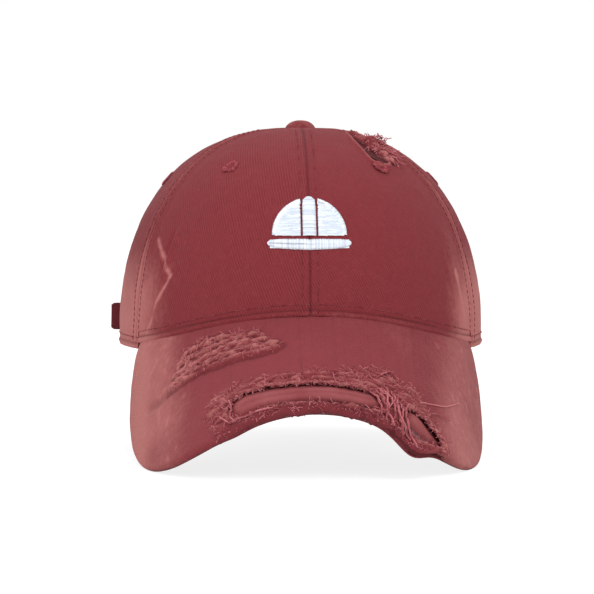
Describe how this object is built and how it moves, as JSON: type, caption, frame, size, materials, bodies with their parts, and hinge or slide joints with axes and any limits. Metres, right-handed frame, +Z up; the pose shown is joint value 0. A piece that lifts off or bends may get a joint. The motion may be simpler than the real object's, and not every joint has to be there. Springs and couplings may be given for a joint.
{
  "type": "bump cap",
  "caption": "Baseball-style bump cap: a worn twill cap with a curved visor and a buckled rear strap, holding a lift-out protective shell with foam pads.",
  "frame": {"origin": "centre of the head opening, level with the side rim", "axes": "the wearer faces -Y, +Z is up towards the top button, +X is to the wearer's left"},
  "size_m": [0.1859, 0.2651, 0.1613],
  "materials": {
    "faded_twill": "washed cotton twill",
    "binding_tape": "woven tape",
    "stiffener": "stiffened gauze",
    "sweatband_cloth": "soft cotton",
    "inner_ply": "smooth coated cloth",
    "board_plastic": "natural plastic",
    "emblem_thread": "white satin stitch",
    "eyelet_thread": "embroidered",
    "tab_ribbon": "smooth ribbon",
    "button_metal": "pressed",
    "button_cloth": "washed cotton twill",
    "strap_twill": "washed cotton twill",
    "buckle_brass": "aged",
    "shell_plastic": "fine texture",
    "trim_rubber": "soft",
    "pad_foam": "closed-cell foam",
    "loop_tape": "loop pile",
    "hook_tape": "hook tape"
  },
  "bodies": {
    "cap": {"front_left_panel": "faded_twill", "side_left_panel": "faded_twill", "rear_left_panel": "faded_twill", "rear_right_panel": "faded_twill", "side_right_panel": "faded_twill", "front_right_panel": "faded_twill", "seam_tapes": "binding_tape", "front_left_buckram": "stiffener", "front_right_buckram": "stiffener", "crown_hem": "faded_twill", "opening_binding": "binding_tape", "sweatband": "sweatband_cloth", "visor_top_cover": "faded_twill", "visor_inner_ply": "inner_ply", "visor_board": "board_plastic", "visor_under_cover": "faded_twill", "button_cover": "button_cloth", "button_shell": "button_metal", "button_washer": "button_metal", "rear_right_eyelet": "eyelet_thread", "side_right_eyelet": "eyelet_thread", "front_right_eyelet": "eyelet_thread", "front_left_eyelet": "eyelet_thread", "side_left_eyelet": "eyelet_thread", "rear_left_eyelet": "eyelet_thread", "front_emblem": "emblem_thread", "side_tab": "tab_ribbon", "buckle_strap": "strap_twill", "buckle_frame": "buckle_brass", "buckle_pin": "buckle_brass", "right_rear_loop_patch": "loop_tape", "right_side_loop_patch": "loop_tape", "left_side_loop_patch": "loop_tape", "left_rear_loop_patch": "loop_tape"},
    "free_strap": {"adjust_strap": "strap_twill"},
    "lever": {"buckle_lever": "buckle_brass"},
    "insert": {"bump_shell_wall": "shell_plastic", "bump_shell_crown": "shell_plastic", "shell_edge_trim": "trim_rubber", "foam_front_pad": "pad_foam", "foam_left_pad": "pad_foam", "foam_rear_pad": "pad_foam", "foam_right_pad": "pad_foam", "foam_crown_pad": "pad_foam", "right_rear_hook_patch": "hook_tape", "right_side_hook_patch": "hook_tape", "left_side_hook_patch": "hook_tape", "left_rear_hook_patch": "hook_tape"}
  },
  "joints": [
    {"name": "strap_adjust", "type": "hinge", "parent": "cap", "child": "free_strap", "pos_m": [0, 0.0213, 0.011], "axis": [0, 0, 1], "range_deg": [-8, 8]},
    {"name": "clasp_lever", "type": "hinge", "parent": "cap", "child": "lever", "pos_m": [0.01344, 0.10077, 0.011], "axis": [0, 0, -1], "range_deg": [0, 100]},
    {"name": "insert_release", "type": "slide", "parent": "cap", "child": "insert", "axis": [0, 0, -1], "range_m": [0, 0.12]}
  ]
}
